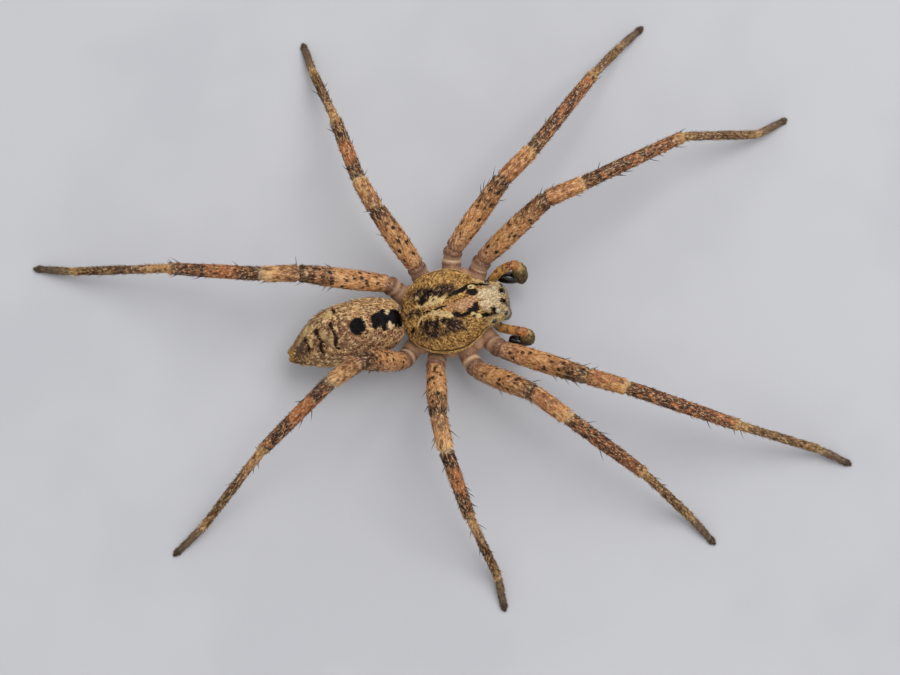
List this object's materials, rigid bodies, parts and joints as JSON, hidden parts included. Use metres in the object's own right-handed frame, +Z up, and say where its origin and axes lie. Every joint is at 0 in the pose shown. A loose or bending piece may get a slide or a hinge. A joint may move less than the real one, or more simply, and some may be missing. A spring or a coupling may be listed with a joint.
{
  "type": "false wolf spider",
  "caption": "Adult male false wolf spider at life size, standing still on spread legs with raised knees.",
  "frame": {"origin": "on the floor, under the middle of the animal's bounding box", "axes": "+Z up, the spider faces -Y, its left side is +X; +Y is the longest extent"},
  "size_m": [0.0358, 0.046, 0.008],
  "materials": {
    "carapace": "dense short golden hair over brown cuticle, dark bars and cream patches",
    "abdomen": "short pinkish tan hair with black spot, cardiac mark and brown speckles",
    "leg": "orange tan cuticle with dark bands and dashes under short hair",
    "foot": "mottled brown to grey-olive short hair",
    "coxa": "smooth pinkish brown cuticle with dark edges",
    "palp_tip": "grey-olive hair over a dark bulb",
    "jaw": "dark brown cuticle with pale grey hair",
    "spinneret": "yellow-orange, finely haired",
    "fang": "polished, near black",
    "eye_dark": "polished, black",
    "eye_pale": "polished, pale silvery cream"
  },
  "bodies": {
    "root": {"abdomen": "abdomen", "cephalothorax": "carapace", "eye_anterior_lateral_L": "eye_dark", "eye_anterior_lateral_R": "eye_dark", "eye_anterior_median_L": "eye_dark", "eye_anterior_median_R": "eye_dark", "eye_posterior_lateral_L": "eye_dark", "eye_posterior_lateral_R": "eye_dark", "eye_posterior_median_L": "eye_pale", "eye_posterior_median_R": "eye_pale", "fang_L": "fang", "fang_R": "fang", "jaw_L": "jaw", "jaw_R": "jaw", "leg_L1_coxa": "coxa", "leg_L1_femur": "leg", "leg_L1_metatarsus": "foot", "leg_L1_patella_tibia": "leg", "leg_L1_tarsus": "foot", "leg_L2_coxa": "coxa", "leg_L2_femur": "leg", "leg_L2_metatarsus": "foot", "leg_L2_patella_tibia": "leg", "leg_L2_tarsus": "foot", "leg_L3_coxa": "coxa", "leg_L3_femur": "leg", "leg_L3_metatarsus": "foot", "leg_L3_patella_tibia": "leg", "leg_L3_tarsus": "foot", "leg_L4_coxa": "coxa", "leg_L4_femur": "leg", "leg_L4_metatarsus": "foot", "leg_L4_patella_tibia": "leg", "leg_L4_tarsus": "foot", "leg_R1_coxa": "coxa", "leg_R1_femur": "leg", "leg_R1_metatarsus": "foot", "leg_R1_patella_tibia": "leg", "leg_R1_tarsus": "foot", "leg_R2_coxa": "coxa", "leg_R2_femur": "leg", "leg_R2_metatarsus": "foot", "leg_R2_patella_tibia": "leg", "leg_R2_tarsus": "foot", "leg_R3_coxa": "coxa", "leg_R3_femur": "leg", "leg_R3_metatarsus": "foot", "leg_R3_patella_tibia": "leg", "leg_R3_tarsus": "foot", "leg_R4_coxa": "coxa", "leg_R4_femur": "leg", "leg_R4_metatarsus": "foot", "leg_R4_patella_tibia": "leg", "leg_R4_tarsus": "foot", "palp_L": "leg", "palp_R": "leg", "palp_tip_L": "palp_tip", "palp_tip_R": "palp_tip", "spinnerets": "spinneret"}
  },
  "joints": []
}
